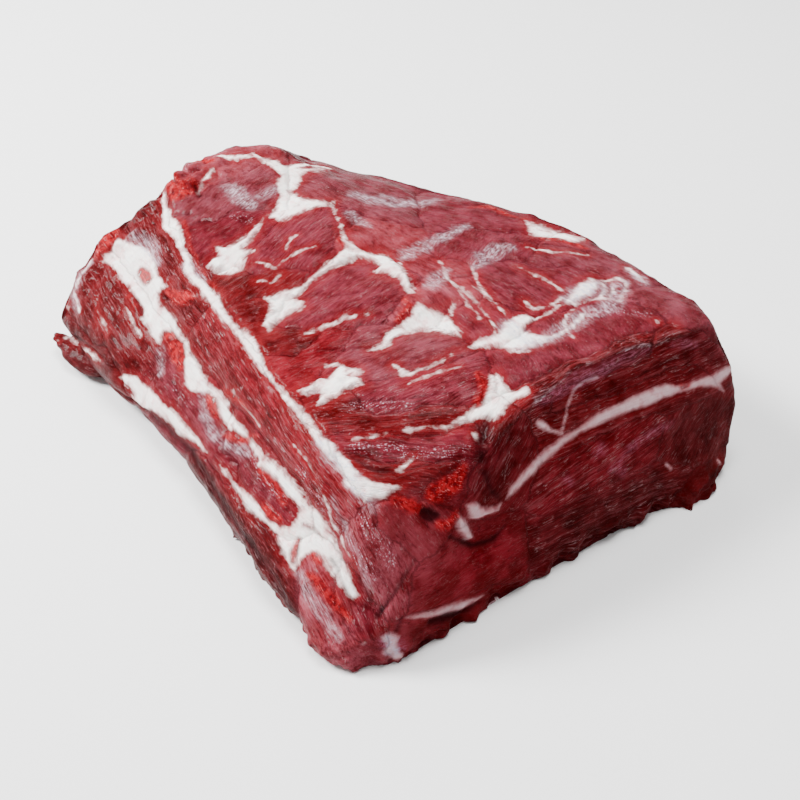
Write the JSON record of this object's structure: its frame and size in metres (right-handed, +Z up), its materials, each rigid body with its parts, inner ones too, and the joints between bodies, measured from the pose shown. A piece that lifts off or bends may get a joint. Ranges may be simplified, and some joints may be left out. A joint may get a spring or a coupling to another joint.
{
  "type": "beef striploin",
  "caption": "Boneless block of raw beef loin lying bone side up, wide at the cut end and narrow at the other, with muscles parted by white fat seams.",
  "frame": {"origin": "middle of the outer box, at the table", "axes": "+X along the block towards the cut end, +Y away from the strip's long side, +Z up"},
  "size_m": [0.3206, 0.2628, 0.0955],
  "materials": {
    "upper_lean": "moist raw muscle, brownish pink-red, fine fibres",
    "eye_lean": "moist freshly cut muscle, dark maroon, fine fibres",
    "side_lean": "moist raw muscle, crimson with a purple sheen, long fibres",
    "fat": "waxy white fat and silverskin, tinged pink"
  },
  "bodies": {
    "root": {"top_block": "upper_lean", "upper_fat_seam": "fat", "eye_and_strip": "eye_lean", "lower_fat_seam": "fat", "lower_muscle": "side_lean"}
  },
  "joints": []
}
